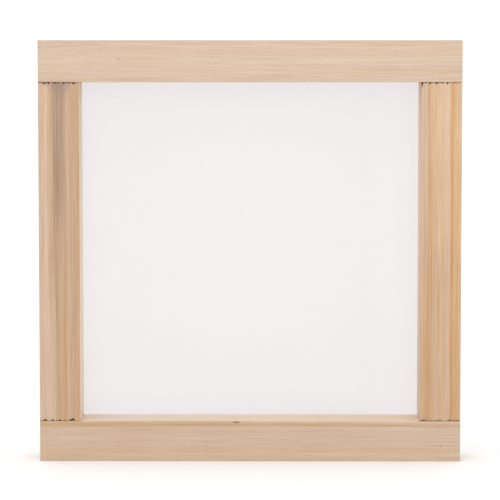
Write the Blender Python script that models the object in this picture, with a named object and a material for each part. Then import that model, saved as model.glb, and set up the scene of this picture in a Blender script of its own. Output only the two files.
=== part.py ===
"""Screen printing frame: a square wooden frame with a mesh stretched over its back.

Two full-width rails and two stiles butted between them, joined by dowels. The mesh is held on the back
by staples driven through a woven tape on each side. The frame stands on its bottom rail: X runs along
the rails, Y from the front (the squeegee side) to the back (the printing side), and Z up the stiles.
The origin is under the middle of the bottom rail.
"""

import math

import bmesh
import bpy
from mathutils import Matrix, Vector

# Driving dimensions, in metres.
FRAME_WIDTH = 0.250
FRAME_HEIGHT = 0.250
BAR_DEPTH = 0.025
TOP_RAIL_FACE = 0.0247
BOTTOM_RAIL_FACE = 0.0240
STILE_FACE = 0.0240
ARRIS = 0.0003

GLUE_GAP = 0.0003

DOWEL_DIAMETER = 0.006
DOWEL_LENGTH = 0.030
DOWEL_SPACING = 0.011
DOWEL_FLUTES = 12
DOWEL_FLUTE_DEPTH = 0.0002
DOWEL_CHAMFER = 0.0008
DOWEL_FIT = 0.0003
DOWEL_END_ROOM = 0.0006
DOWELS_PER_JOINT = 2
DOWEL_HOLE_SIDES = 20

LAYER_GAP = 0.0003
MESH_THICKNESS = 0.0003
MESH_MARGIN = 0.005

TAPE_WIDTH = 0.016
TAPE_THICKNESS = 0.0012
TAPE_MARGIN = 0.003
TAPE_END_GAP = 0.0005

STAPLES_PER_SIDE = 8
STAPLE_CROWN = 0.010
STAPLE_LEG = 0.008
STAPLE_POINT = 0.001
STAPLE_WIRE_WIDTH = 0.0012
STAPLE_WIRE_THICKNESS = 0.0006
STAPLE_ANGLE = math.radians(35)
STAPLE_FIT = 0.0003
STAPLE_END_MARGIN = 0.012

# Places that follow from the sizes above.
TOTAL_DEPTH = BAR_DEPTH + 2 * LAYER_GAP + MESH_THICKNESS + TAPE_THICKNESS
FRONT = -TOTAL_DEPTH / 2
BACK = TOTAL_DEPTH / 2
BAR_BACK = FRONT + BAR_DEPTH
BAR_MIDDLE = FRONT + BAR_DEPTH / 2
MESH_FRONT = BAR_BACK + LAYER_GAP
TAPE_FRONT = MESH_FRONT + MESH_THICKNESS + LAYER_GAP
TOP_JOINT = FRAME_HEIGHT - TOP_RAIL_FACE
BOTTOM_JOINT = BOTTOM_RAIL_FACE
STILE_CENTRE = FRAME_WIDTH / 2 - STILE_FACE / 2
TAPE_CENTRE = TAPE_MARGIN + TAPE_WIDTH / 2

PINE = (0.72, 0.55, 0.42)
BEECH = (0.66, 0.48, 0.33)
POLYESTER = (0.88, 0.86, 0.84)
COTTON = (0.86, 0.83, 0.77)
STEEL = (0.62, 0.62, 0.64)


def clear_scene():
    for thing in list(bpy.data.objects):
        bpy.data.objects.remove(thing, do_unlink=True)


def material(name, colour, roughness, metallic=0.0):
    made = bpy.data.materials.new(name)
    made.use_nodes = True
    shader = made.node_tree.nodes["Principled BSDF"]
    shader.inputs["Base Color"].default_value = (*colour, 1.0)
    shader.inputs["Roughness"].default_value = roughness
    shader.inputs["Metallic"].default_value = metallic
    return made


def add_object(name, mesh, parent, place=(0, 0, 0), turn=0.0):
    """An object at a place, turned about Y by an angle."""
    made = bpy.data.objects.new(name, mesh)
    made.location = place
    made.rotation_euler = (0, turn, 0)
    made.parent = parent
    bpy.context.scene.collection.objects.link(made)
    return made


def mesh_from(bm, name, surface=None):
    bmesh.ops.recalc_face_normals(bm, faces=bm.faces)
    mesh = bpy.data.meshes.new(name)
    bm.to_mesh(mesh)
    bm.free()
    if surface:
        mesh.materials.append(surface)
    return mesh


def block_mesh(name, size, surface):
    bm = bmesh.new()
    bmesh.ops.create_cube(bm, size=1.0, matrix=Matrix.Diagonal((*size, 1.0)))
    return mesh_from(bm, name, surface)


def add_prism(bm, outline, width, placing):
    """Adds a prism with its outline in the XY plane and its width along Z, moved by a matrix."""
    front = [bm.verts.new(placing @ Vector((x, y, -width / 2))) for x, y in outline]
    back = [bm.verts.new(placing @ Vector((x, y, width / 2))) for x, y in outline]
    bm.faces.new(front)
    bm.faces.new(back[::-1])
    for i in range(len(outline)):
        j = (i + 1) % len(outline)
        bm.faces.new((front[i], back[i], back[j], front[j]))


def add_bevel(thing):
    bevel = thing.modifiers.new("eased_edges", "BEVEL")
    bevel.width = ARRIS
    bevel.segments = 1
    bevel.limit_method = "ANGLE"


def add_cut(thing, cutter):
    cut = thing.modifiers.new("cut_" + cutter.name, "BOOLEAN")
    cut.operation = "DIFFERENCE"
    cut.solver = "EXACT"
    cut.object = cutter


def as_cutter(thing):
    thing.hide_render = True
    thing.display_type = "WIRE"
    return thing


def staple_outline(grow=0.0, above=0.0):
    """A staple from the side: the crown along X with its outer face at Y 0, and the legs down to -Y.

    With grow it is the clearance round the staple, which rises above the crown by above.
    """
    outside = STAPLE_CROWN / 2 + grow
    inside = STAPLE_CROWN / 2 - STAPLE_WIRE_THICKNESS - grow
    under_crown = -STAPLE_WIRE_THICKNESS - grow
    tip = -STAPLE_LEG - grow
    slant = 0.0 if grow else STAPLE_POINT
    return [
        (-outside, above),
        (-outside, tip),
        (-inside, tip + slant),
        (-inside, under_crown),
        (inside, under_crown),
        (inside, tip + slant),
        (outside, tip),
        (outside, above),
    ]


def staple_places():
    """The centre and the turn of each staple, by side."""
    def spread(low, high):
        step = (high - low) / (STAPLES_PER_SIDE - 1)
        return [low + step * i for i in range(STAPLES_PER_SIDE)]

    across = FRAME_WIDTH / 2 - TAPE_MARGIN - STAPLE_END_MARGIN
    foot = TAPE_MARGIN + TAPE_WIDTH + TAPE_END_GAP + STAPLE_END_MARGIN
    side = FRAME_WIDTH / 2 - TAPE_CENTRE
    along_x = spread(-across, across)
    along_z = spread(foot, FRAME_HEIGHT - foot)
    upright = math.pi / 2
    return {
        "top": [((x, BACK, FRAME_HEIGHT - TAPE_CENTRE), STAPLE_ANGLE) for x in along_x],
        "bottom": [((x, BACK, TAPE_CENTRE), -STAPLE_ANGLE) for x in along_x],
        "left": [((-side, BACK, z), upright + STAPLE_ANGLE) for z in along_z],
        "right": [((side, BACK, z), upright - STAPLE_ANGLE) for z in along_z],
    }


def add_staples(places, parent, surface):
    bm = bmesh.new()
    add_prism(bm, staple_outline(), STAPLE_WIRE_WIDTH, Matrix.Identity(4))
    mesh = mesh_from(bm, "staple", surface)
    for side, spots in places.items():
        for number, (place, turn) in enumerate(spots, 1):
            add_object(f"staple_{side}_{number}", mesh, parent, place, turn)


def add_staple_cutters(places, parent):
    """One cutter a side, which holds the clearance round each staple of that side."""
    outline = staple_outline(STAPLE_FIT, above=LAYER_GAP)
    width = STAPLE_WIRE_WIDTH + 2 * STAPLE_FIT
    cutters = {}
    for side, spots in places.items():
        bm = bmesh.new()
        for place, turn in spots:
            placing = Matrix.Translation(place) @ Matrix.Rotation(turn, 4, "Y")
            add_prism(bm, outline, width, placing)
        mesh = mesh_from(bm, f"{side}_staple_cutter")
        cutters[side] = as_cutter(add_object(mesh.name, mesh, parent))
    return cutters


def dowel_places():
    """The centre of each dowel, by joint: half of it is in the rail and half in the stile."""
    places = {}
    for height, level in (("top", TOP_JOINT - GLUE_GAP / 2), ("bottom", BOTTOM_JOINT + GLUE_GAP / 2)):
        for side, middle in (("left", -STILE_CENTRE), ("right", STILE_CENTRE)):
            first = middle - DOWEL_SPACING * (DOWELS_PER_JOINT - 1) / 2
            spots = [first + DOWEL_SPACING * i for i in range(DOWELS_PER_JOINT)]
            places[f"{height}_{side}"] = [(x, BAR_MIDDLE, level) for x in spots]
    return places


def add_dowels(places, parent, surface):
    """Fluted pins with chamfered ends, their length along Z."""
    bm = bmesh.new()
    count = 2 * DOWEL_FLUTES
    rings = []
    for height, inset in (
        (-DOWEL_LENGTH / 2, DOWEL_CHAMFER),
        (-DOWEL_LENGTH / 2 + DOWEL_CHAMFER, 0.0),
        (DOWEL_LENGTH / 2 - DOWEL_CHAMFER, 0.0),
        (DOWEL_LENGTH / 2, DOWEL_CHAMFER),
    ):
        ring = []
        for i in range(count):
            flute = DOWEL_FLUTE_DEPTH if i % 2 else 0.0
            radius = DOWEL_DIAMETER / 2 - flute - inset
            angle = 2 * math.pi * i / count
            ring.append(bm.verts.new((radius * math.cos(angle), radius * math.sin(angle), height)))
        rings.append(ring)
    for low, high in zip(rings, rings[1:]):
        for i in range(count):
            j = (i + 1) % count
            bm.faces.new((low[i], low[j], high[j], high[i]))
    bm.faces.new(rings[0][::-1])
    bm.faces.new(rings[-1])
    mesh = mesh_from(bm, "dowel", surface)
    mesh.shade_smooth()
    mesh.set_sharp_from_angle(angle=math.radians(40))
    for joint, spots in places.items():
        for number, place in enumerate(spots, 1):
            add_object(f"dowel_{joint}_{number}", mesh, parent, place)


def add_dowel_cutters(places, parent):
    """One cutter a joint, which holds the holes for its dowels."""
    depth = DOWEL_LENGTH + 2 * DOWEL_END_ROOM
    cutters = {}
    for joint, spots in places.items():
        bm = bmesh.new()
        for place in spots:
            bmesh.ops.create_cone(
                bm,
                cap_ends=True,
                segments=DOWEL_HOLE_SIDES,
                radius1=DOWEL_DIAMETER / 2 + DOWEL_FIT,
                radius2=DOWEL_DIAMETER / 2 + DOWEL_FIT,
                depth=depth,
                matrix=Matrix.Translation(place),
            )
        mesh = mesh_from(bm, f"{joint}_dowel_cutter")
        cutters[joint] = as_cutter(add_object(mesh.name, mesh, parent))
    return cutters


def add_bars(parent, surface, staple_cutters, dowel_cutters):
    """The two rails and the two stiles, with their dowel holes and the slots of the staples' legs."""
    rail_size = (FRAME_WIDTH, BAR_DEPTH)
    stile_length = TOP_JOINT - BOTTOM_JOINT - 2 * GLUE_GAP
    stile_size = (STILE_FACE, BAR_DEPTH, stile_length)
    stile_height = (TOP_JOINT + BOTTOM_JOINT) / 2
    bars = {
        "top_rail": ((*rail_size, TOP_RAIL_FACE), (0, BAR_MIDDLE, FRAME_HEIGHT - TOP_RAIL_FACE / 2)),
        "bottom_rail": ((*rail_size, BOTTOM_RAIL_FACE), (0, BAR_MIDDLE, BOTTOM_RAIL_FACE / 2)),
        "left_stile": (stile_size, (-STILE_CENTRE, BAR_MIDDLE, stile_height)),
        "right_stile": (stile_size, (STILE_CENTRE, BAR_MIDDLE, stile_height)),
    }
    for name, (size, place) in bars.items():
        bar = add_object(name, block_mesh(name, size, surface), parent, place)
        add_bevel(bar)
        side = name.split("_")[0]
        add_cut(bar, staple_cutters[side])
        for joint, cutter in dowel_cutters.items():
            if side in joint:
                add_cut(bar, cutter)


def add_screen_mesh(parent, surface, staple_cutters):
    """The stretched mesh as a thin sheet over the back of the bars, pierced by the staples' legs."""
    size = (FRAME_WIDTH - 2 * MESH_MARGIN, MESH_THICKNESS, FRAME_HEIGHT - 2 * MESH_MARGIN)
    place = (0, MESH_FRONT + MESH_THICKNESS / 2, FRAME_HEIGHT / 2)
    sheet = add_object("screen_mesh", block_mesh("screen_mesh", size, surface), parent, place)
    for cutter in staple_cutters.values():
        add_cut(sheet, cutter)


def add_tapes(parent, surface, staple_cutters):
    """The top and bottom tapes run the full width, and the side tapes end against them."""
    depth_place = TAPE_FRONT + TAPE_THICKNESS / 2
    long_size = (FRAME_WIDTH - 2 * TAPE_MARGIN, TAPE_THICKNESS, TAPE_WIDTH)
    ends = TAPE_MARGIN + TAPE_WIDTH + TAPE_END_GAP
    short_size = (TAPE_WIDTH, TAPE_THICKNESS, FRAME_HEIGHT - 2 * ends)
    side = FRAME_WIDTH / 2 - TAPE_CENTRE
    tapes = {
        "top": (long_size, (0, depth_place, FRAME_HEIGHT - TAPE_CENTRE)),
        "bottom": (long_size, (0, depth_place, TAPE_CENTRE)),
        "left": (short_size, (-side, depth_place, FRAME_HEIGHT / 2)),
        "right": (short_size, (side, depth_place, FRAME_HEIGHT / 2)),
    }
    for name, (size, place) in tapes.items():
        tape = add_object(f"{name}_tape", block_mesh(f"{name}_tape", size, surface), parent, place)
        add_cut(tape, staple_cutters[name])


def build():
    clear_scene()
    origin = bpy.data.objects.new("frame_origin", None)
    bpy.context.scene.collection.objects.link(origin)
    staples = staple_places()
    dowels = dowel_places()
    staple_cutters = add_staple_cutters(staples, origin)
    dowel_cutters = add_dowel_cutters(dowels, origin)
    add_bars(origin, material("bar_wood", PINE, 0.6), staple_cutters, dowel_cutters)
    add_dowels(dowels, origin, material("dowel_wood", BEECH, 0.65))
    add_screen_mesh(origin, material("mesh_fabric", POLYESTER, 0.7), staple_cutters)
    add_tapes(origin, material("tape_fabric", COTTON, 0.85), staple_cutters)
    add_staples(staples, origin, material("staple_steel", STEEL, 0.35, 1.0))
    bpy.context.view_layer.update()


build()
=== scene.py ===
"""The looks of the screen printing frame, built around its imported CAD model.

The bars, the mesh, the tapes and the staples are remade with finer surfaces in the places of their CAD
nodes. The dowels keep their CAD shape. Sizes are in metres; X runs along the rails, Y from the front
to the back and Z up.
"""

import math
from collections import namedtuple

import bmesh
import bpy
from mathutils import Matrix, Vector, noise


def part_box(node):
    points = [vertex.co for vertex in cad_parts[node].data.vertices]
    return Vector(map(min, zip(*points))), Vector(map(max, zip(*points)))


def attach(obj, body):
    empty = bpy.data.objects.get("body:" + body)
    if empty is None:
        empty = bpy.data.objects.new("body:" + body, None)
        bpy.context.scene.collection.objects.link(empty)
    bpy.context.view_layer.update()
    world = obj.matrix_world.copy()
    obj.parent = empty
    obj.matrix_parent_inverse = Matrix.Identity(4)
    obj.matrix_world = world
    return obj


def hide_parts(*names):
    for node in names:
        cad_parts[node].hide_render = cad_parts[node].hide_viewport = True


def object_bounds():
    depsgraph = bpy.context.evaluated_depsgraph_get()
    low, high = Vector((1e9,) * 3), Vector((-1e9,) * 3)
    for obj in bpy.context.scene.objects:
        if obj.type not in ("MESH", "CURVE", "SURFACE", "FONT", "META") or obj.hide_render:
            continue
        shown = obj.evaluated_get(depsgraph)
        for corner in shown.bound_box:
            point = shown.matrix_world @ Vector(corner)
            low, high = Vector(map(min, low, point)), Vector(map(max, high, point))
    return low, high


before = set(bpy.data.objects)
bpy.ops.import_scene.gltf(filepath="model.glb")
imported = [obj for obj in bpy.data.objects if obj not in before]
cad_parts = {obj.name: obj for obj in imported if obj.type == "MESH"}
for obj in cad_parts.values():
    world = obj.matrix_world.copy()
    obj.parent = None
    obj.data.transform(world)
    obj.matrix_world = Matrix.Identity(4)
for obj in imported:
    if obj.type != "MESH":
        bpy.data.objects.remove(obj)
cad_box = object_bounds()

MM = 0.001

# The frame's main places, from the CAD model.
TOP_LOW, TOP_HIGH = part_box("top_rail")
BOTTOM_LOW, BOTTOM_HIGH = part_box("bottom_rail")
LEFT_LOW, LEFT_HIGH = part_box("left_stile")
RIGHT_LOW, RIGHT_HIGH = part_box("right_stile")
MESH_LOW, MESH_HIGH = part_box("screen_mesh")
FRONT = TOP_LOW.y
BACK = cad_box[1].y
WIDTH = TOP_HIGH.x - TOP_LOW.x
HEIGHT = TOP_HIGH.z

# Bars: the steps are how finely a section is divided, and the rings are how finely the length is.
ARRIS = 0.4 * MM
ARRIS_SPREAD = 0.2 * MM
ARC_STEPS = 4
STILE_STEP = 0.25 * MM
RAIL_STEP = 1.0 * MM
RING_STEP = 5 * MM
JOINT_GAP = 0.05 * MM
END_RINGS = tuple(step * MM for step in (0.0, 0.12, 0.25, 0.4, 0.6, 0.8, 1.0, 1.3, 1.8, 3.0, 5.0))
CAP_INSETS = (0.7 * MM, 2.5 * MM, 7.0 * MM)
CHIP_DEPTH = 1.2 * MM
LEAST_CHIP = 0.1 * MM
CHIP_SLOPE = 0.9
TORN_MOST = 1.4 * MM
CONTACT = 0.02 * MM

# Mesh: painted light, its colour made paler within reach of the bars against the shade they cast.
THREAD_PITCH = 0.25 * MM
MESH_STEPS = 60
PAINTED_LIGHT_REACH = 35 * MM
PAINTED_LIGHT_BY = 0.16

# Tapes
TAPE_STEP = 0.6 * MM
TAPE_REST = 0.12 * MM
TAPE_EDGE = 0.9 * MM
TAPE_PULL = 0.12 * MM
TAPE_PUFF = 0.1 * MM
TAPE_RIDGE = 0.08 * MM
RIDGE_SPREAD = 0.4 * MM
SELVEDGE_SHARE = 0.45
RIB_PITCH = 0.7 * MM
YARN_PITCH = 0.55 * MM
DENT_DEPTH = 0.6 * MM
DENT_SPREAD = 1.6 * MM

# Staples
CROWN = 10 * MM
LEG = 8 * MM
WIRE_WIDTH = 1.2 * MM
WIRE_THICKNESS = 0.6 * MM
SHOULDER = 0.9 * MM
SHOULDER_STEPS = 6
WIRE_SIDES = 16
TIP_SHARE = 0.15
STAPLE_TURNS = {"top": 35, "bottom": -35, "left": 125, "right": 55}

# Camera: its distance, height and side are measured from the middle of the front face.
CAMERA_DISTANCE = 5.0 * WIDTH
CAMERA_HEIGHT = 0.44 * HEIGHT
CAMERA_SIDE = 0.03 * WIDTH
CAMERA_LENS = 152.7
AIM_LIFT = 0.005 * HEIGHT
SENSOR = 36.0
CAMERA_SHIFT = -0.08

# Studio. The level is how much brighter than its own colour a front face shows in its light.
STUDIO_LEVEL = 1.235
WORLD_STRENGTH = 1.11
SUN_STRENGTH = 0.7
SUN_SPREAD = math.radians(80)
SUN_TURN = (math.radians(60), 0, math.radians(-12))
FLOOR_RADIUS = 14.0
FLOOR_GREY = (0.91, 0.91, 0.91, 1.0)


def srgb(red, green, blue):
    """A colour as it should look in the studio, 0 to 255, as the linear numbers that shaders take."""

    def linear(value):
        value /= 255
        return (value / 12.92 if value <= 0.04045 else ((value + 0.055) / 1.055) ** 2.4) / STUDIO_LEVEL

    return (linear(red), linear(green), linear(blue), 1.0)


# ---------------------------------------------------------------- shader helpers


class Shader:
    """A material with a Principled BSDF, and short calls that add nodes to it and return a socket."""

    def __init__(self, name):
        self.material = bpy.data.materials.new(name)
        self.material.use_nodes = True
        self.tree = self.material.node_tree
        self.principled = self.tree.nodes["Principled BSDF"]

    def put(self, value, socket):
        if isinstance(value, bpy.types.NodeSocket):
            self.tree.links.new(value, socket)
        else:
            socket.default_value = value

    def set(self, name, value):
        self.put(value, self.principled.inputs[name])

    def node(self, kind, **settings):
        made = self.tree.nodes.new(kind)
        for key, value in settings.items():
            setattr(made, key, value)
        return made

    def place(self):
        return self.node("ShaderNodeTexCoord").outputs["Object"]

    def normal(self):
        return self.node("ShaderNodeNewGeometry").outputs["Normal"]

    def attribute(self, name):
        return self.node("ShaderNodeAttribute", attribute_name=name).outputs["Fac"]

    def math(self, operation, a, b=0.0, c=0.0):
        made = self.node("ShaderNodeMath", operation=operation)
        for value, socket in zip((a, b, c), made.inputs):
            self.put(value, socket)
        return made.outputs[0]

    def times(self, a, b):
        return self.math("MULTIPLY", a, b)

    def total(self, *values):
        result = values[0]
        for value in values[1:]:
            result = self.math("ADD", result, value)
        return result

    def swing(self, value, amount):
        """Noise of 0 to 1 as a change about zero."""
        return self.math("MULTIPLY_ADD", value, amount, -amount / 2)

    def dot(self, vector, direction):
        made = self.node("ShaderNodeVectorMath", operation="DOT_PRODUCT")
        self.put(vector, made.inputs[0])
        made.inputs[1].default_value = direction
        return made.outputs["Value"]

    def vector(self, x, y, z):
        made = self.node("ShaderNodeCombineXYZ")
        for value, socket in zip((x, y, z), made.inputs):
            self.put(value, socket)
        return made.outputs[0]

    def stretched(self, place, x, y, z):
        """A place with each axis multiplied, so that noise there has that many features a metre."""
        return self.vector(self.dot(place, (x, 0, 0)), self.dot(place, (0, y, 0)), self.dot(place, (0, 0, z)))

    def noise(self, vector, detail=2.0, rough=0.5):
        """Smooth noise with features about one unit of the vector apart, from 0 to 1."""
        made = self.node("ShaderNodeTexNoise")
        self.put(vector, made.inputs["Vector"])
        made.inputs["Scale"].default_value = 1.0
        made.inputs["Detail"].default_value = detail
        made.inputs["Roughness"].default_value = rough
        return made.outputs["Fac"]

    def cells(self, vector):
        """The distance to the nearest of many scattered points about one unit apart."""
        made = self.node("ShaderNodeTexVoronoi", feature="F1")
        self.put(vector, made.inputs["Vector"])
        made.inputs["Scale"].default_value = 1.0
        return made.outputs["Distance"]

    def fade(self, value, low, high, start=0.0, end=1.0):
        """From start, where value is low or less, smoothly to end, where it is high or more."""
        made = self.node("ShaderNodeMapRange", interpolation_type="SMOOTHSTEP")
        self.put(value, made.inputs["Value"])
        if low > high:
            low, high, start, end = high, low, end, start
        for name, number in (("From Min", low), ("From Max", high), ("To Min", start), ("To Max", end)):
            made.inputs[name].default_value = number
        return made.outputs["Result"]

    def ramp(self, value, stops):
        made = self.node("ShaderNodeValToRGB")
        self.put(value, made.inputs["Fac"])
        elements = made.color_ramp.elements
        while len(elements) < len(stops):
            elements.new(0.5)
        for element, (position, colour) in zip(elements, stops):
            element.position = position
            element.color = colour
        return made.outputs["Color"]

    def mix(self, share, a, b, blend="MIX"):
        made = self.node("ShaderNodeMix", data_type="RGBA", blend_type=blend)
        colours = [socket for socket in made.inputs if socket.type == "RGBA"]
        self.put(share, made.inputs[0])
        self.put(a, colours[0])
        self.put(b, colours[1])
        return [socket for socket in made.outputs if socket.type == "RGBA"][0]

    def tint(self, colour, tone):
        """The colour made lighter or darker by a tone about zero, and yellower as it darkens."""
        made = self.node("ShaderNodeVectorMath", operation="MULTIPLY")
        self.put(colour[:3] if isinstance(colour, tuple) else colour, made.inputs[0])
        red = self.math("MULTIPLY_ADD", tone, 0.75, 1.0)
        green = self.math("ADD", tone, 1.0)
        blue = self.math("MULTIPLY_ADD", tone, 1.3, 1.0)
        self.put(self.vector(red, green, blue), made.inputs[1])
        return made.outputs["Vector"]

    def bump(self, height, distance, strength=1.0):
        made = self.node("ShaderNodeBump")
        self.put(height, made.inputs["Height"])
        made.inputs["Distance"].default_value = distance
        made.inputs["Strength"].default_value = strength
        return made.outputs["Normal"]


# ---------------------------------------------------------------- wood

# Where a bar's board lies: the directions over its face and down its length, where each begins, the
# length, how far the grain leans through the depth, where the growth rings are centred, as mm over the
# face and mm deep, and how strong the streaks are.
Board = namedtuple("Board", "across outer along start length seed lean pith figure")

FLECK_DEPTH = 1.5 * MM
CHIP_DIRT_AND_SHADE = srgb(38, 24, 18)
FLECK = srgb(122, 86, 56)
BRUISE = srgb(152, 132, 122)
GOLD = srgb(219, 172, 122)
GREYISH = srgb(214, 190, 176)
END_GRAIN = srgb(203, 168, 134)
PAINTED_RIM_HIGHLIGHT = srgb(240, 224, 206)


def wood(name, board, first, last, lines=(), flecks=()):
    """Planed pale softwood.

    first and last list (mm across, colour) at the bar's two ends, from beyond one edge to beyond the
    other. lines are thin streaks: mm across at the two ends, width in mm, darkness, and the shares of
    the length where they run. flecks are small dark marks: mm along, mm across, and their size.
    """
    s = Shader(name)
    place = s.place()
    down = s.math("SUBTRACT", s.dot(place, board.along), board.start)
    over = s.math("SUBTRACT", s.dot(place, board.across), board.outer)
    deep = s.math("SUBTRACT", s.dot(place, (0, 1, 0)), FRONT)
    share = s.times(down, 1 / board.length)

    sway = s.noise(s.vector(s.times(down, 6.0), s.times(over, 30.0), board.seed), 1.0)
    leaning = s.math("MULTIPLY_ADD", deep, board.lean, s.total(over, s.swing(sway, 3.0 * MM)))

    # The colour across the board, at one end and at the other.
    low, high = first[0][0], first[-1][0]
    level = s.times(s.math("ADD", leaning, -low * MM), 1 / ((high - low) * MM))
    at_first = s.ramp(level, [((mm - low) / (high - low), colour) for mm, colour in first])
    at_last = s.ramp(level, [((mm - low) / (high - low), colour) for mm, colour in last])
    wander = s.noise(s.vector(s.times(down, 12.0), s.times(over, 300.0), board.seed + 3.0))
    colour = s.mix(s.fade(s.total(share, s.swing(wander, 0.9)), 0.1, 0.9), at_first, at_last)

    # Growth rings: soft bands, and thin darker lines where they turn.
    side = s.math("ADD", leaning, -board.pith[0] * MM)
    away = s.math("ADD", deep, -board.pith[1] * MM)
    radius = s.math("SQRT", s.total(s.times(side, side), s.times(away, away)))
    rings = s.noise(s.vector(s.times(radius, 330.0), s.times(down, 2.5), board.seed + 9.0), 3.0, 0.6)
    line = s.fade(s.math("ABSOLUTE", s.math("ADD", rings, -0.5)), 0.0, 0.03, 1.0, 0.0)
    shown = s.noise(s.vector(s.times(down, 6.0), s.times(radius, 120.0), board.seed + 5.0))
    line = s.times(line, s.fade(shown, 0.4, 0.65))

    # Fibres, pores and clouds.
    fibre = s.noise(s.vector(s.times(down, 26.0), s.times(leaning, 1350.0), s.times(deep, 1350.0)), 4.0, 0.65)
    pore = s.cells(s.vector(s.times(down, 300.0), s.times(leaning, 1500.0), s.times(deep, 1500.0)))
    pore = s.fade(pore, 0.05, 0.2, 1.0, 0.0)
    speck = s.noise(s.vector(s.times(down, 1300.0), s.times(over, 1700.0), s.times(deep, 1700.0)), 1.0)
    cloud = s.noise(s.vector(s.times(down, 22.0), s.times(over, 60.0), board.seed + 21.0), 3.0)
    streaks = s.noise(s.vector(s.times(down, 3.0), s.times(leaning, 800.0), board.seed + 14.0), 4.0, 0.7)
    warmth = s.noise(s.vector(s.times(down, 2.0), s.times(leaning, 520.0), board.seed + 31.0), 3.0, 0.6)
    colour = s.mix(s.fade(warmth, 0.5, 0.72, 0.0, 0.5 * board.figure), colour, GOLD)
    colour = s.mix(s.fade(warmth, 0.48, 0.3, 0.0, 0.35 * board.figure), colour, GREYISH)
    tone = s.total(
        s.swing(streaks, 0.32 * board.figure),
        s.swing(rings, 0.22),
        s.swing(fibre, 0.62 + 0.13 * board.figure),
        s.swing(speck, 0.58),
        s.swing(cloud, 0.14),
        s.times(line, -0.08),
        s.times(pore, -0.12),
    )
    for at_start, at_end, width, darkness, begin, finish in lines:
        course = s.math("MULTIPLY_ADD", share, (at_end - at_start) * MM, at_start * MM)
        gap = s.math("ABSOLUTE", s.math("SUBTRACT", leaning, course))
        streak = s.fade(gap, 0.15 * width * MM, 0.75 * width * MM, -darkness, 0.0)
        begun = s.fade(share, begin - 0.06, begin + 0.06)
        unfinished = s.fade(share, finish - 0.1, finish + 0.1, 1.0, 0.0)
        within = s.times(begun, unfinished)
        uneven = s.fade(shown, 0.3, 0.7, 0.6, 1.0)
        tone = s.total(tone, s.times(s.times(streak, within), uneven))
    colour = s.tint(colour, tone)

    # Sawn ends are darker, and their rings and pores show more.
    cut = s.fade(s.math("ABSOLUTE", s.dot(s.normal(), board.along)), 0.6, 0.85)
    dots = s.noise(s.vector(board.seed, s.times(over, 2200.0), s.times(deep, 2200.0)), 2.0, 0.7)
    growth = s.noise(s.vector(s.times(radius, 700.0), board.seed, 4.0), 2.0)
    end_tone = s.total(s.swing(growth, 0.9), s.swing(dots, 0.8))
    colour = s.mix(s.times(cut, 0.85), colour, s.tint(END_GRAIN, end_tone))

    # Bruised and chipped places, and a painted highlight along the rounded edges, come from the mesh, and
    # small marks from the list.
    mottle = s.noise(s.vector(s.times(down, 700.0), s.times(over, 1100.0), board.seed), 3.0, 0.7)
    colour = s.mix(s.times(s.attribute("bruise"), s.fade(mottle, 0.38, 0.6, 0.2, 1.0)), colour, BRUISE)
    # Painted highlight: the rounded edges are made paler.
    colour = s.mix(s.times(s.attribute("rim"), 0.07), colour, PAINTED_RIM_HIGHLIGHT)
    for along_mm, across_mm, long_mm, wide_mm in flecks:
        near = s.times(s.math("ADD", down, -along_mm * MM), 1 / (long_mm * MM))
        beside = s.times(s.math("ADD", over, -across_mm * MM), 1 / (wide_mm * MM))
        inside = s.times(deep, 1 / FLECK_DEPTH)
        reach = s.total(s.times(near, near), s.times(beside, beside), s.times(inside, inside))
        reach = s.total(reach, s.swing(mottle, 0.9))
        colour = s.mix(s.fade(reach, 0.2, 1.0, 0.8, 0.0), colour, FLECK)
    # The chips are made near black: partly dirt in them, partly painted shade in their hollows.
    colour = s.mix(s.attribute("chip"), colour, CHIP_DIRT_AND_SHADE)
    s.set("Base Color", colour)

    s.set("Roughness", s.total(s.times(fibre, 0.14), s.times(cut, 0.15), 0.5))
    s.principled.inputs["Specular IOR Level"].default_value = 0.3
    pitted = s.times(cut, dots)
    relief = s.total(s.times(fibre, 0.8), s.times(line, -0.4), s.times(pore, -0.6), s.times(pitted, 0.8))
    s.set("Normal", s.bump(relief, 0.06 * MM, 0.5))
    return s.material


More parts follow.
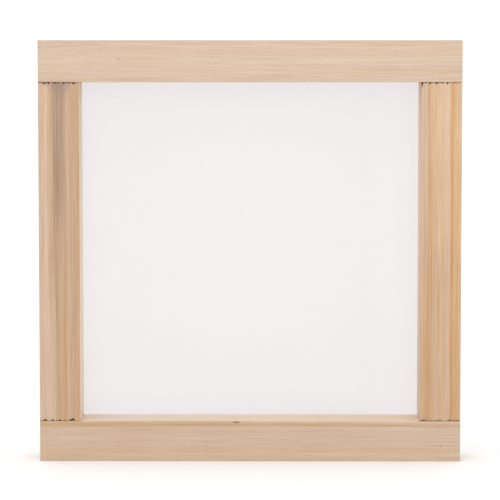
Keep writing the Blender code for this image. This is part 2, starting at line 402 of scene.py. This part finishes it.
def bar_materials():
    """Each bar's own board: the colours across it make its streaks and bands.

    They are set to look like the photographed boards. Those beyond a face's inner edge show on the
    inner walls, and are painted paler than the wood, because the photograph lights them more.
    """
    top = wood(
        "top_rail_wood",
        Board((0, 0, -1), -HEIGHT, (1, 0, 0), -WIDTH / 2, WIDTH, 1.0, 0.3, (60, -90), 0.4),
        [
            (-20, srgb(226, 200, 176)),
            (0, srgb(214, 187, 163)),
            (3, srgb(217, 190, 166)),
            (8, srgb(219, 193, 170)),
            (14, srgb(218, 192, 169)),
            (19, srgb(217, 191, 168)),
            (24, srgb(215, 187, 161)),
            (45, srgb(222, 196, 172)),
        ],
        [
            (-20, srgb(226, 200, 176)),
            (0, srgb(216, 187, 160)),
            (3, srgb(219, 191, 165)),
            (8, srgb(218, 192, 169)),
            (14, srgb(219, 194, 171)),
            (18, srgb(216, 189, 163)),
            (24, srgb(218, 192, 168)),
            (45, srgb(222, 196, 172)),
        ],
        lines=[
            (18.9, 15.9, 0.9, 0.06, 0.0, 1.0),
            (20.6, 20.0, 0.5, 0.035, 0.0, 0.7),
            (3.4, 2.2, 0.8, 0.045, 0.0, 0.9),
            (9.5, 8.8, 0.6, 0.025, 0.1, 0.8),
        ],
        flecks=[(47.5, 11.2, 0.7, 0.4)],
    )
    bottom = wood(
        "bottom_rail_wood",
        Board((0, 0, -1), -BOTTOM_HIGH.z, (1, 0, 0), -WIDTH / 2, WIDTH, 11.0, -0.3, (-50, -70), 0.35),
        [
            (-20, srgb(240, 220, 200)),
            (-0.6, srgb(242, 224, 206)),
            (0.3, srgb(203, 169, 127)),
            (2.4, srgb(199, 165, 124)),
            (4, srgb(211, 182, 158)),
            (15, srgb(210, 183, 160)),
            (17, srgb(212, 180, 147)),
            (20, srgb(211, 183, 154)),
            (24, srgb(207, 177, 150)),
            (45, srgb(212, 184, 156)),
        ],
        [
            (-20, srgb(234, 208, 182)),
            (-0.6, srgb(245, 221, 194)),
            (0.3, srgb(212, 183, 156)),
            (2.4, srgb(204, 169, 135)),
            (4, srgb(211, 184, 162)),
            (15, srgb(211, 185, 163)),
            (17, srgb(211, 180, 149)),
            (20, srgb(213, 186, 158)),
            (24, srgb(208, 179, 152)),
            (45, srgb(212, 184, 156)),
        ],
        lines=[(3.1, 2.6, 0.7, 0.06, 0.0, 1.0), (13.0, 12.0, 0.6, 0.03, 0.0, 0.8)],
        flecks=[(238.3, 14.8, 0.65, 0.45), (117.0, 0.6, 2.6, 0.6)],
    )
    stile = LEFT_HIGH.z - LEFT_LOW.z
    left = wood(
        "left_stile_wood",
        Board((1, 0, 0), -WIDTH / 2, (0, 0, -1), -LEFT_HIGH.z, stile, 23.0, 0.3, (-80, -60), 0.9),
        [
            (-20, srgb(218, 188, 160)),
            (0, srgb(207, 175, 149)),
            (2, srgb(214, 183, 158)),
            (4.5, srgb(219, 188, 161)),
            (6.5, srgb(208, 172, 140)),
            (8, srgb(196, 164, 138)),
            (9.5, srgb(184, 154, 131)),
            (12, srgb(177, 149, 127)),
            (14.5, srgb(187, 157, 133)),
            (17, srgb(203, 170, 142)),
            (21, srgb(203, 167, 137)),
            (23.5, srgb(205, 163, 125)),
            (24.5, srgb(252, 232, 205)),
            (45, srgb(242, 220, 198)),
        ],
        [
            (-20, srgb(218, 188, 160)),
            (0, srgb(205, 175, 151)),
            (6, srgb(208, 181, 157)),
            (9.5, srgb(203, 172, 141)),
            (11, srgb(193, 157, 124)),
            (13, srgb(200, 168, 138)),
            (15.2, srgb(199, 158, 116)),
            (17.5, srgb(200, 170, 144)),
            (21, srgb(193, 161, 133)),
            (23.5, srgb(193, 157, 125)),
            (24.5, srgb(252, 232, 205)),
            (45, srgb(242, 220, 198)),
        ],
        lines=[
            (13.8, 3.0, 6.0, 0.1, 0.0, 0.62),
            (9.9, 8.6, 0.7, 0.2, 0.05, 0.5),
            (11.6, 9.4, 0.6, 0.14, 0.1, 0.65),
            (13.4, 13.0, 0.8, 0.1, 0.0, 0.5),
            (9.6, 10.8, 0.8, 0.1, 0.55, 1.0),
            (14.6, 15.6, 0.9, 0.1, 0.5, 1.0),
            (18.6, 18.4, 0.5, 0.06, 0.2, 1.0),
            (20.9, 21.2, 0.4, 0.05, 0.0, 1.0),
            (3.2, 2.8, 0.5, 0.05, 0.0, 1.0),
            (5.6, 5.9, 0.5, 0.05, 0.0, 1.0),
        ],
    )
    right = wood(
        "right_stile_wood",
        Board((1, 0, 0), RIGHT_LOW.x, (0, 0, -1), -RIGHT_HIGH.z, stile, 37.0, -0.3, (90, -60), 1.0),
        [
            (-20, srgb(236, 208, 184)),
            (-1.6, srgb(240, 210, 186)),
            (-0.8, srgb(213, 180, 155)),
            (3, srgb(217, 184, 157)),
            (4.5, srgb(211, 172, 135)),
            (7, srgb(220, 183, 145)),
            (12, srgb(221, 186, 153)),
            (16.5, srgb(221, 189, 161)),
            (17.4, srgb(220, 182, 146)),
            (18.2, srgb(216, 167, 113)),
            (19.8, srgb(221, 178, 127)),
            (21, srgb(221, 184, 142)),
            (23.6, srgb(220, 187, 154)),
            (45, srgb(222, 190, 160)),
        ],
        [
            (-20, srgb(236, 206, 180)),
            (-1.6, srgb(236, 206, 180)),
            (-0.8, srgb(207, 172, 140)),
            (3, srgb(203, 166, 130)),
            (4.5, srgb(193, 151, 109)),
            (7, srgb(205, 168, 130)),
            (12, srgb(202, 168, 135)),
            (16, srgb(208, 175, 144)),
            (17.8, srgb(206, 170, 134)),
            (18.6, srgb(197, 149, 97)),
            (20.0, srgb(205, 164, 117)),
            (22, srgb(202, 162, 116)),
            (23.6, srgb(206, 171, 137)),
            (45, srgb(216, 184, 154)),
        ],
        lines=[
            (4.6, 4.8, 0.8, 0.08, 0.0, 1.0),
            (6.4, 6.2, 0.5, 0.06, 0.0, 1.0),
            (18.7, 18.2, 0.6, 0.07, 0.0, 1.0),
            (21.6, 21.2, 0.5, 0.05, 0.2, 1.0),
            (10.0, 9.5, 0.5, 0.03, 0.1, 0.9),
        ],
    )
    return {"top_rail": top, "bottom_rail": bottom, "left_stile": left, "right_stile": right}


def dowel_material():
    """Beech pins: pale brown, with short darker rays down their length."""
    s = Shader("beech")
    place = s.place()
    ray = s.fade(s.cells(s.stretched(place, 2600, 2600, 420)), 0.1, 0.3, 1.0, 0.0)
    fibre = s.noise(s.stretched(place, 3000, 3000, 90), 3.0)
    tone = s.total(s.swing(fibre, 0.5), s.times(ray, -0.25))
    s.set("Base Color", s.tint(srgb(206, 170, 134), tone))
    s.set("Roughness", s.fade(fibre, 0.3, 0.7, 0.5, 0.65))
    s.set("Normal", s.bump(s.total(fibre, s.times(ray, -0.5)), 0.08 * MM, 0.6))
    return s.material


# Chips along the front edge of each end of the stiles: where each starts and ends across the stile,
# and how far it reaches down the stile, in mm.
CHIPS = {
    ("left_stile", "top"): (
        (0.7, 1.6, 0.5), (2.5, 4.6, 0.9), (4.9, 7.5, 1.0), (8.2, 9.2, 0.6), (9.8, 10.6, 0.7),
        (11.4, 12.2, 0.6), (14.3, 17.3, 0.9), (18.0, 18.9, 0.7), (20.3, 22.9, 1.0),
    ),
    ("left_stile", "bottom"): (
        (0.3, 0.9, 0.5), (1.6, 4.4, 0.9), (6.9, 8.3, 0.9), (9.2, 9.9, 0.5), (11.2, 12.8, 0.8),
        (14.0, 14.8, 0.5), (17.6, 20.8, 1.3), (22.2, 23.0, 0.5),
    ),
    ("right_stile", "top"): (
        (-0.7, 0.7, 2.0), (2.4, 3.0, 0.5), (4.2, 5.7, 0.7), (7.8, 9.6, 0.9), (12.0, 12.7, 0.5),
        (14.4, 16.0, 0.9), (19.0, 19.8, 0.4),
    ),
    ("right_stile", "bottom"): (
        (0.3, 3.9, 0.95), (5.8, 6.8, 0.6), (8.4, 9.0, 0.5), (10.8, 12.2, 0.8), (16.8, 18.1, 0.9),
        (19.4, 20.0, 0.5), (21.6, 23.4, 0.8),
    ),
}

# Greyish bruises under the ends: mm across where each starts and ends, how far down it reaches in mm,
# and how strong it is.
BRUISES = {
    ("left_stile", "top"): ((0.0, 24.0, 2.2, 0.6), (6.0, 20.0, 5.5, 0.95)),
    ("left_stile", "bottom"): ((1.0, 21.5, 1.0, 0.4),),
    ("right_stile", "top"): ((0.0, 17.0, 0.8, 0.35), (0.0, 2.0, 2.5, 0.6)),
    ("right_stile", "bottom"): ((0.0, 23.5, 1.2, 0.4), (0.0, 5.0, 2.0, 0.5)),
}


def arc_points(centre, radius, start_turn):
    """Points on a quarter circle, in (across, deep), from one face's end to the next face's start."""
    turns = [start_turn + math.pi / 2 * k / ARC_STEPS for k in range(ARC_STEPS + 1)]
    return [(centre[0] + radius * math.cos(t), centre[1] + radius * math.sin(t), 1.0) for t in turns]


def bar_profile(low, high, radii, steps):
    """Points round a bar's section, as (across, deep, rim). rim is 1 on the rounded edges.

    The points run over the front face first, then down one side, over the back and up the other.
    """
    corners = ((low[0], low[1]), (high[0], low[1]), (high[0], high[1]), (low[0], high[1]))
    inward = ((1, 1), (-1, 1), (-1, -1), (1, -1))
    points = []
    for i in range(4):
        radius = radii[i]
        centre = tuple(c + d * radius for c, d in zip(corners[i], inward[i]))
        points += arc_points(centre, radius, math.pi + math.pi / 2 * i)
        last = points[-1]
        following = (i + 1) % 4
        centre = tuple(c + d * radii[following] for c, d in zip(corners[following], inward[following]))
        target = arc_points(centre, radii[following], math.pi + math.pi / 2 * following)[0]
        for k in range(1, steps[i]):
            share = k / steps[i]
            across, deep = (a + (b - a) * share for a, b in zip(last[:2], target[:2]))
            points.append((across, deep, 0.0))
    return points


def torn_reach(place, seed):
    """How far fine tearing reaches down the bar at a place along an end's edge."""
    return TORN_MOST * max(0.0, noise.noise(Vector((place / MM * 2.3, seed, 7.0))))


def chip_reach(chips, across, seed):
    """How far the chips and the tearing reach down the bar at a place across it."""
    if not chips:
        return 0.0
    reach = torn_reach(across, seed)
    for start, end, most in chips:
        if start <= across / MM <= end:
            middle = 1 - abs((across / MM - start) / (end - start) * 2 - 1) ** 4
            ragged = 0.85 + 2.2 * noise.noise(Vector((across / MM * 2.7, seed, start)))
            reach = max(reach, 1.1 * most * middle * min(1.1, max(0.05, ragged)) * MM)
    return reach


def bruise_at(bruises, across, from_end):
    """How strongly a place on a bar is bruised."""
    strength = 0.0
    for start, end, reach, most in bruises:
        if start <= across / MM <= end:
            middle = 1 - abs((across / MM - start) / (end - start) * 2 - 1) ** 4
            strength = max(strength, most * middle * math.exp(-((from_end / MM / reach) ** 2)))
    return strength


def add_bar(name, upright, material, seed):
    """One bar: a box with slightly uneven rounded edges, and chipped ends on a stile."""
    low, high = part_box(name)
    long_axis, cross_axis = (2, 0) if upright else (0, 2)
    first, last = low[long_axis], high[long_axis]
    if upright:
        first = BOTTOM_HIGH.z + JOINT_GAP
        last = TOP_LOW.z - JOINT_GAP
    section_low = (low[cross_axis], low.y)
    section_high = (high[cross_axis], MESH_LOW.y - CONTACT)
    face = section_high[0] - section_low[0]
    inner_side, inward = (section_high[0], -1) if high.x < 0 else (section_low[0], 1)
    depth = section_high[1] - section_low[1]
    step = STILE_STEP if upright else RAIL_STEP
    side_steps = round(depth / (2 * step))
    steps = (round(face / step), side_steps, round(face / (4 * RAIL_STEP)), side_steps)
    inner_rings = round((last - first - 2 * END_RINGS[-1]) / RING_STEP)
    between = (last - first - 2 * END_RINGS[-1]) / inner_rings
    stations = [first + r for r in END_RINGS]
    stations += [first + END_RINGS[-1] + between * (i + 1) for i in range(inner_rings - 1)]
    stations += [last - r for r in reversed(END_RINGS)]

    bm = bmesh.new()
    layers = {key: bm.verts.layers.float.new(key) for key in ("chip", "rim", "bruise")}
    rings = []
    for along in stations:
        wear = [noise.noise(Vector((along * 60, corner * 7.3, seed))) for corner in range(4)]
        radii = [ARRIS + ARRIS_SPREAD * w for w in wear]
        low_end = along < (first + last) / 2
        key = (name, "bottom" if low_end else "top")
        from_end = along - first if low_end else last - along
        ring = []
        for across, deep, rim in bar_profile(section_low, section_high, radii, steps):
            here, chip = along, 0.0
            near_front = max(0.0, 1 - (deep - section_low[1]) / CHIP_DEPTH)
            near_inside = max(0.0, 1 - abs(across - inner_side) / CHIP_DEPTH)
            front_reach = chip_reach(CHIPS.get(key, ()), across - section_low[0], seed) * near_front
            side_reach = torn_reach(deep, seed + 3) * near_inside if upright else 0.0
            reach = max(front_reach, side_reach)
            if reach > LEAST_CHIP and from_end < reach:
                here = first + reach if low_end else last - reach
                chip = 1.0
                if front_reach >= side_reach:
                    deep += (reach - from_end) * CHIP_SLOPE
                else:
                    across += (reach - from_end) * CHIP_SLOPE * inward
            place = [0.0, deep, 0.0]
            place[long_axis] = here
            place[cross_axis] = across
            vert = bm.verts.new(place)
            vert[layers["chip"]] = chip
            vert[layers["rim"]] = rim
            vert[layers["bruise"]] = bruise_at(BRUISES.get(key, ()), across - section_low[0], from_end)
            ring.append(vert)
        rings.append(ring)
    join_rings(bm, rings)
    middle = [(a + b) / 2 for a, b in zip(section_low, section_high)]
    for ring, plane in ((rings[0], first), (rings[-1], last)):
        add_cap(bm, ring, long_axis, cross_axis, middle, plane)
    bmesh.ops.recalc_face_normals(bm, faces=bm.faces)
    return finish_mesh(bm, name + "_board", material)


def add_cap(bm, ring, long_axis, cross_axis, middle, plane):
    """Closes a bar's end with rings that shrink towards the middle."""
    half = [max(abs(v.co[axis] - centre) for v in ring) for axis, centre in zip((cross_axis, 1), middle)]
    outer = ring
    for inset in CAP_INSETS:
        inner = []
        for vert in ring:
            place = vert.co.copy()
            place[cross_axis] = middle[0] + (place[cross_axis] - middle[0]) * (1 - inset / half[0])
            place[1] = middle[1] + (place[1] - middle[1]) * (1 - inset / half[1])
            place[long_axis] = plane
            inner.append(bm.verts.new(place))
        join_rings(bm, (outer, inner))
        outer = inner
    bm.faces.new(outer)


def smooth_mesh(bm, name, material, sharp):
    """The finished mesh: shaded smooth, apart from edges that turn by more than the angle in degrees."""
    mesh = bpy.data.meshes.new(name)
    bm.to_mesh(mesh)
    bm.free()
    mesh.materials.append(material)
    mesh.shade_smooth()
    mesh.set_sharp_from_angle(angle=math.radians(sharp))
    return mesh


def finish_mesh(bm, name, material, sharp=35):
    """An object of the mesh, in the scene."""
    made = bpy.data.objects.new(name, smooth_mesh(bm, name, material, sharp))
    bpy.context.scene.collection.objects.link(made)
    return made


def join_rings(bm, rings):
    """Faces between each ring of points and the next."""
    count = len(rings[0])
    for near, far in zip(rings, rings[1:]):
        for i in range(count):
            j = (i + 1) % count
            bm.faces.new((near[i], near[j], far[j], far[i]))


def add_bars():
    """The four bars, each with its own board and its own wear."""
    for seed, (name, material) in enumerate(bar_materials().items(), 1):
        board = add_bar(name, name.endswith("stile"), material, seed * 4.7)
        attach(board, "root")
        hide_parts(name)


def finish_dowels():
    """The dowels keep their CAD shape and get a material of their own."""
    material = dowel_material()
    for name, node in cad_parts.items():
        if name.startswith("dowel"):
            node.material_slots[0].material = material


# ---------------------------------------------------------------- mesh


def mesh_material():
    """White monofilament, plain woven, and more see-through in its holes than on its threads.

    Its grey and its alpha are set together, to show as pale as in the photograph on this white studio.
    """
    s = Shader("woven_mesh")
    place = s.place()
    turns = math.pi / THREAD_PITCH
    warp = s.math("SINE", s.dot(place, (turns, 0, 0)))
    weft = s.math("SINE", s.dot(place, (0, 0, turns)))
    over_under = s.times(warp, weft)
    cover = s.math("MAXIMUM", s.math("ABSOLUTE", warp), s.math("ABSOLUTE", weft))
    cloud = s.noise(s.vector(s.dot(place, (18, 0, 0)), s.dot(place, (0, 0, 18)), 3.0), 2.0)
    warp_thread = s.noise(s.vector(s.dot(place, (4000, 0, 0)), s.dot(place, (0, 0, 25)), 8.0), 1.0)
    weft_thread = s.noise(s.vector(s.dot(place, (25, 0, 0)), s.dot(place, (0, 0, 4000)), 7.0), 1.0)
    tone = s.total(s.swing(cloud, 0.03), s.swing(warp_thread, 0.05), s.swing(weft_thread, 0.05))
    # Painted, not lit: the photographed mesh is even up to the bars, and here the bars shade it.
    across_opening = ((1, 0, 0), LEFT_HIGH.x, RIGHT_LOW.x)
    up_opening = ((0, 0, 1), BOTTOM_HIGH.z, TOP_LOW.z)
    for direction, low, high in (across_opening, up_opening):
        from_middle = s.math("ABSOLUTE", s.math("ADD", s.dot(place, direction), -(low + high) / 2))
        edge = (high - low) / 2
        tone = s.total(tone, s.fade(from_middle, edge - PAINTED_LIGHT_REACH, edge, 0.0, PAINTED_LIGHT_BY))
    s.set("Base Color", s.tint((0.515, 0.461, 0.469, 1.0), tone))
    s.set("Roughness", s.fade(cover, 0.7, 1.0, 0.4, 0.55))
    s.set("Alpha", s.fade(cover, 0.7, 0.92, 0.3, 0.56))
    s.set("Normal", s.bump(s.total(cover, s.times(over_under, 0.5)), 0.02 * MM, 0.4))
    return s.material


def add_screen_mesh():
    """The stretched mesh: one flat sheet in the middle of its CAD solid."""
    low, high = MESH_LOW, MESH_HIGH
    middle = (low.y + high.y) / 2
    bm = bmesh.new()
    grid = []
    for i in range(MESH_STEPS + 1):
        x = low.x + (high.x - low.x) * i / MESH_STEPS
        heights = [low.z + (high.z - low.z) * k / MESH_STEPS for k in range(MESH_STEPS + 1)]
        grid.append([bm.verts.new((x, middle, z)) for z in heights])
    for i in range(MESH_STEPS):
        for k in range(MESH_STEPS):
            bm.faces.new((grid[i][k], grid[i + 1][k], grid[i + 1][k + 1], grid[i][k + 1]))
    cloth = finish_mesh(bm, "stretched_mesh", mesh_material())
    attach(cloth, "root")
    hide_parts("screen_mesh")


# ---------------------------------------------------------------- tapes and staples


def tape_material(name, along, across):
    """Undyed cotton tape in plain weave, its ribs across and a tighter edge on both sides."""
    s = Shader(name)
    place = s.place()
    length = s.dot(place, along)
    over = s.dot(place, across)
    rib = s.math("SINE", s.times(length, 2 * math.pi / RIB_PITCH))
    end = s.math("SINE", s.times(over, 2 * math.pi / YARN_PITCH))
    weave = s.times(rib, end)
    lint = s.noise(s.vector(s.times(length, 900.0), s.times(over, 900.0), 2.0), 3.0, 0.7)
    yarn = s.noise(s.vector(s.times(length, 1400.0), s.times(over, 60.0), 5.0), 2.0)
    soil = s.noise(s.vector(s.times(length, 25.0), s.times(over, 90.0), 9.0), 3.0)
    tone = s.total(s.times(weave, 0.08), s.swing(lint, 0.25), s.swing(yarn, 0.35), s.swing(soil, 0.14))
    colour = s.tint(srgb(238, 229, 213), tone)
    colour = s.mix(s.times(s.attribute("edge"), 0.3), colour, srgb(214, 204, 184))
    s.set("Base Color", colour)
    s.set("Roughness", s.fade(lint, 0.3, 0.7, 0.8, 0.95))
    s.principled.inputs["Sheen Weight"].default_value = 0.2
    s.principled.inputs["Sheen Roughness"].default_value = 0.6
    s.set("Normal", s.bump(s.total(s.times(weave, 0.5), s.times(lint, 0.4)), 0.22 * MM, 0.8))
    return s.material


def staple_material():
    """Bright galvanised wire, drawn and a little scuffed."""
    s = Shader("staple_wire")
    place = s.place()
    scuff = s.noise(s.stretched(place, 300, 3000, 3000), 3.0)
    spangle = s.noise(s.stretched(place, 900, 900, 900), 2.0)
    s.set("Base Color", s.mix(s.fade(spangle, 0.35, 0.65), (0.66, 0.67, 0.69, 1.0), (0.5, 0.51, 0.53, 1.0)))
    s.principled.inputs["Metallic"].default_value = 1.0
    s.set("Roughness", s.fade(scuff, 0.3, 0.7, 0.24, 0.42))
    s.set("Normal", s.bump(scuff, 0.02 * MM, 0.5))
    return s.material


def staple_place(node, side):
    """Where a staple's crown is centred, and the direction the crown runs in, from its CAD node."""
    low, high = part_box(node)
    centre = Vector(((low.x + high.x) / 2, high.y, (low.z + high.z) / 2))
    turn = math.radians(STAPLE_TURNS[side])
    return centre, Vector((math.cos(turn), 0, -math.sin(turn)))


def staples_on(side):
    """The names of the CAD staples along one side."""
    return [name for name in sorted(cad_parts) if name.startswith(f"staple_{side}_")]


def dent_at(point, staples):
    """How deep the crowns press the tape at a point on it."""
    depth = 0.0
    for centre, run in staples:
        away = point - Vector((centre.x, 0, centre.z))
        along = max(-CROWN / 2, min(CROWN / 2, away.dot(run)))
        gap = max(0.0, (away - run * along).length - WIRE_WIDTH / 2)
        depth = max(depth, DENT_DEPTH * math.exp(-((gap / DENT_SPREAD) ** 2)))
    return depth


def add_tape(side, material, seed):
    """One tape: its outer face puffs up between the staples and is pressed in under them."""
    node = f"{side}_tape"
    low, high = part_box(node)
    long_axis, cross_axis = (0, 2) if side in ("top", "bottom") else (2, 0)
    staples = [staple_place(name, side) for name in staples_on(side)]
    length = high[long_axis] - low[long_axis]
    width = high[cross_axis] - low[cross_axis]
    under = MESH_HIGH.y + CONTACT
    rings = []
    bm = bmesh.new()
    edge_layer = bm.verts.layers.float.new("edge")
    stations = round(length / TAPE_STEP)
    across_steps = round(width / TAPE_STEP)
    for i in range(stations + 1):
        along = low[long_axis] + length * i / stations
        from_end = min(along - low[long_axis], high[long_axis] - along)
        pull = [TAPE_PULL * (1 + noise.noise(Vector((along * 90, k * 5.0, seed)))) for k in (0, 1)]
        start, end = low[cross_axis] + pull[0], high[cross_axis] - pull[1]
        ring = []
        for k in range(across_steps + 1):
            across = start + (end - start) * k / across_steps
            from_edge = min(across - start, end - across, from_end)
            place = [0.0, 0.0, 0.0]
            place[long_axis], place[cross_axis] = along, across
            puff = TAPE_PUFF * noise.noise(Vector((along * 160, across * 160, seed)))
            rounded = max(0.0, min(1.0, from_edge / TAPE_EDGE))
            height = BACK - TAPE_REST - abs(puff) - dent_at(Vector(place), staples)
            arc = math.sqrt(1 - (1 - rounded) ** 2)
            height = under + (height - under) * (SELVEDGE_SHARE + (1 - SELVEDGE_SHARE) * arc)
            ridge = math.exp(-(((from_edge - TAPE_EDGE) / RIDGE_SPREAD) ** 2))
            place[1] = min(height + TAPE_RIDGE * ridge, BACK)
            vert = bm.verts.new(place)
            vert[edge_layer] = 1 - rounded
            ring.append(vert)
        for k in (3, 2, 1, 0):
            place = [0.0, under, 0.0]
            place[long_axis], place[cross_axis] = along, start + (end - start) * k / 3
            vert = bm.verts.new(place)
            vert[edge_layer] = 1.0
            ring.append(vert)
        rings.append(ring)
    join_rings(bm, rings)
    for ring in (rings[0], rings[-1]):
        bm.faces.new(ring)
    bmesh.ops.recalc_face_normals(bm, faces=bm.faces)
    tape = finish_mesh(bm, f"{side}_cotton_tape", material, 50)
    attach(tape, "root")
    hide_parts(node)


def wire_path():
    """The middle line of a staple's wire: up one leg, over the crown and down the other, crown along X."""
    half = CROWN / 2 - WIRE_WIDTH / 2
    top = -WIRE_THICKNESS / 2
    points = [Vector((-half, -LEG, 0)), Vector((-half, -LEG / 2, 0))]
    for k in range(SHOULDER_STEPS + 1):
        turn = math.pi / 2 * k / SHOULDER_STEPS
        across = -half + SHOULDER * (1 - math.cos(turn))
        points.append(Vector((across, top - SHOULDER * (1 - math.sin(turn)), 0)))
    points += [Vector((x * half, top, 0)) for x in (-0.4, 0.0)]
    return points + [Vector((-p.x, p.y, 0)) for p in reversed(points[:-1])]


def staple_mesh(material):
    """A staple of flattened wire with rounded shoulders and chisel points, its crown's face at Y 0."""
    path = wire_path()
    bm = bmesh.new()
    rings = []
    for i, point in enumerate(path):
        before, after = path[max(0, i - 1)], path[min(len(path) - 1, i + 1)]
        forward = (after - before).normalized()
        outward = Vector((-forward.y, forward.x, 0))
        tip = i in (0, len(path) - 1)
        ring = []
        for k in range(WIRE_SIDES):
            turn = 2 * math.pi * k / WIRE_SIDES
            # A superellipse: flat faces with rounded edges.
            x = math.copysign(abs(math.cos(turn)) ** 0.5, math.cos(turn)) * WIRE_WIDTH / 2
            y = math.copysign(abs(math.sin(turn)) ** 0.5, math.sin(turn)) * WIRE_THICKNESS / 2
            if tip:
                y *= TIP_SHARE
            ring.append(bm.verts.new(point + Vector((0, 0, 1)) * x + outward * y))
        rings.append(ring)
    join_rings(bm, rings)
    bm.faces.new(rings[0])
    bm.faces.new(rings[-1])
    bmesh.ops.recalc_face_normals(bm, faces=bm.faces)
    return smooth_mesh(bm, "staple", material, 50)


def add_staples(side, mesh):
    """A staple in the place of each CAD staple along one side."""
    for name in staples_on(side):
        centre, run = staple_place(name, side)
        staple = bpy.data.objects.new(name.replace("staple", "wire_staple"), mesh)
        bpy.context.scene.collection.objects.link(staple)
        staple.matrix_world = Matrix.Translation(centre) @ Matrix.Rotation(
            math.radians(STAPLE_TURNS[side]), 4, "Y"
        )
        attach(staple, "root")
        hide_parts(name)


def add_fixings():
    """The four tapes and their staples."""
    rails = tape_material("tape_along_rails", (1, 0, 0), (0, 0, 1))
    stiles = tape_material("tape_along_stiles", (0, 0, 1), (1, 0, 0))
    mesh = staple_mesh(staple_material())
    for seed, side in enumerate(("top", "bottom", "left", "right")):
        add_tape(side, rails if side in ("top", "bottom") else stiles, seed * 3.1)
        add_staples(side, mesh)


# ---------------------------------------------------------------- studio


def add_floor():
    """A plain pale floor, as bright as the world above it, so that no horizon shows."""
    bm = bmesh.new()
    bmesh.ops.create_circle(bm, cap_ends=True, segments=64, radius=FLOOR_RADIUS)
    s = Shader("pale_floor")
    s.principled.inputs["Base Color"].default_value = FLOOR_GREY
    s.principled.inputs["Roughness"].default_value = 0.9
    finish_mesh(bm, "floor", s.material)


def add_lights():
    """Plain soft light from all round, and a little more from the front and above."""
    world = bpy.data.worlds.new("studio")
    world.use_nodes = True
    background = world.node_tree.nodes["Background"]
    background.inputs["Color"].default_value = (1.0, 1.0, 1.0, 1.0)
    background.inputs["Strength"].default_value = WORLD_STRENGTH
    bpy.context.scene.world = world
    bpy.context.scene.view_settings.view_transform = "Standard"

    data = bpy.data.lights.new("soft_front", "SUN")
    data.energy = SUN_STRENGTH
    data.angle = SUN_SPREAD
    lamp = bpy.data.objects.new("soft_front", data)
    lamp.rotation_euler = SUN_TURN
    bpy.context.scene.collection.objects.link(lamp)


def add_camera():
    """The photograph's view: from far in front, a little above and to the right."""
    data = bpy.data.cameras.new("camera")
    data.sensor_width = SENSOR
    data.lens = CAMERA_LENS
    data.shift_y = CAMERA_SHIFT
    data.clip_start = 0.05
    data.clip_end = 60.0
    camera = bpy.data.objects.new("camera", data)
    bpy.context.scene.collection.objects.link(camera)
    camera.location = (CAMERA_SIDE, FRONT - CAMERA_DISTANCE, HEIGHT / 2 + CAMERA_HEIGHT)
    # The view is aimed so that, with the shift, the frame is in its middle.
    turned = math.atan2(CAMERA_SIDE, CAMERA_DISTANCE)
    by_shift = math.atan(-CAMERA_SHIFT * SENSOR / CAMERA_LENS)
    lowered = math.atan2(CAMERA_HEIGHT - AIM_LIFT, CAMERA_DISTANCE) - by_shift
    camera.rotation_euler = (math.pi / 2 - lowered, 0, turned)
    bpy.context.scene.camera = camera


add_camera()
add_floor()
add_lights()
add_bars()
finish_dowels()
add_screen_mesh()
add_fixings()
